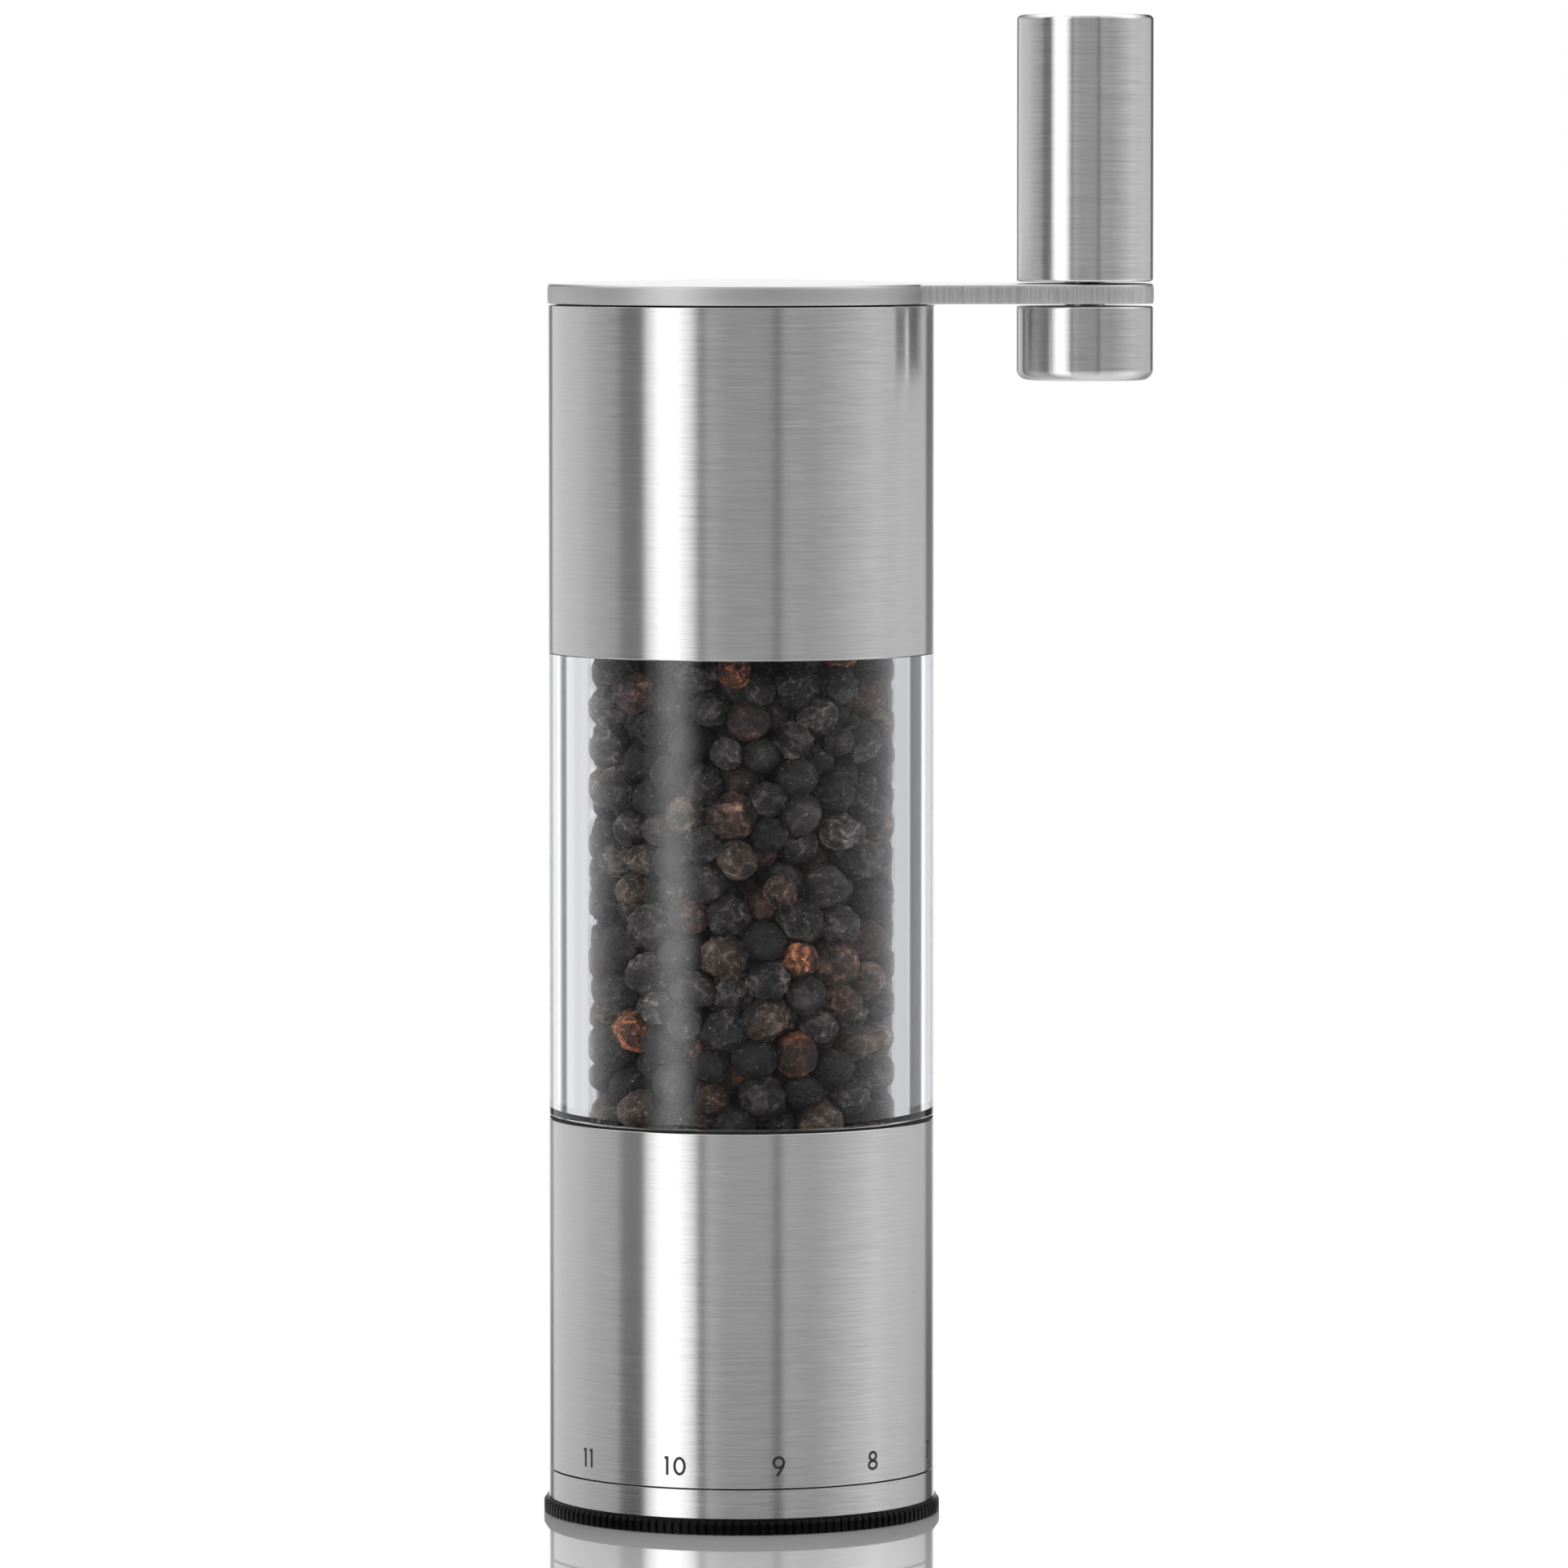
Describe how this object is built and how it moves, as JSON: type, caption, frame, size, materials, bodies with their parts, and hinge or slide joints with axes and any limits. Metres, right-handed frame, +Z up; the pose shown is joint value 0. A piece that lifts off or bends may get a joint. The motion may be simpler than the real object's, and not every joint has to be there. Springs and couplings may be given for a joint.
{
  "type": "pepper mill",
  "caption": "Crank pepper mill: brushed steel sleeves on a thick clear tube of peppercorns, crank lid with turning grip, dial and knurled ring at the base.",
  "frame": {"origin": "on the mill's axis, at the surface that it stands on", "axes": "+Z up along the mill's axis, +X from the mill's axis to the crank's grip, -Y the side with the dial numbers 7 to 11"},
  "size_m": [0.0756, 0.0492, 0.1857],
  "materials": {
    "brushed_steel": "fine brushed stainless steel, satin",
    "bright_steel": "plain bright steel",
    "clear_acrylic": "clear polished acrylic, thick walled",
    "black_plastic": "black moulded plastic, satin",
    "rubber": "matt black rubber",
    "brass": "turned brass",
    "ceramic": "sintered ceramic, off-white, satin",
    "peppercorn": "dried black peppercorns"
  },
  "bodies": {
    "mill_body": {"upper_sleeve": "brushed_steel", "lower_sleeve": "brushed_steel", "acrylic_tube": "clear_acrylic", "window_gasket": "rubber", "filler_collar": "black_plastic", "grinder_housing": "black_plastic", "bearing_spider": "black_plastic", "spider_screws": "bright_steel", "peppercorn_charge": "peppercorn", "friction_o_ring": "rubber"},
    "adjusting_ring": {"adjusting_ring_shell": "brushed_steel", "knurled_base_ring": "black_plastic", "adjusting_nut": "brass", "ring_screws": "bright_steel"},
    "stator": {"stator_carrier": "black_plastic", "ceramic_stator": "ceramic"},
    "drive_train": {"drive_shaft": "bright_steel", "shaft_clip": "bright_steel", "shaft_bush": "brass", "thrust_washer": "bright_steel", "rotor_spring": "bright_steel", "rotor_core": "black_plastic", "ceramic_rotor": "ceramic", "rotor_washer": "bright_steel", "rotor_screw": "bright_steel"},
    "crank_lid": {"crank_plate": "brushed_steel", "lid_plug": "black_plastic", "lid_seal_ring": "rubber", "drive_socket": "bright_steel", "lid_screws": "bright_steel", "arm_bush": "black_plastic"},
    "grip": {"grip_shell": "brushed_steel", "grip_core": "black_plastic", "grip_spindle": "bright_steel", "grip_stub": "brushed_steel"}
  },
  "joints": [
    {"name": "crank_turn", "type": "hinge", "parent": "mill_body", "child": "drive_train", "pos_m": [0, 0, 0.1], "axis": [0, 0, 1], "continuous": true},
    {"name": "lid_lift", "type": "slide", "parent": "drive_train", "child": "crank_lid", "axis": [0, 0, 1], "range_m": [0, 0.04]},
    {"name": "grip_spin", "type": "hinge", "parent": "crank_lid", "child": "grip", "pos_m": [0.0425, 0, 0.1515], "axis": [0, 0, 1], "continuous": true},
    {"name": "grind_adjust", "type": "hinge", "parent": "mill_body", "child": "adjusting_ring", "pos_m": [0, 0, 0.003], "axis": [0, 0, 1], "range_deg": [-219.1, 93.9]},
    {"name": "stator_lift", "type": "slide", "parent": "mill_body", "child": "stator", "axis": [0, 0, 1], "range_m": [-0.00048, 0.00111]}
  ],
  "couplings": [
    {"joint": "stator_lift", "follows": "grind_adjust", "m_per_rad": -0.00028648}
  ]
}
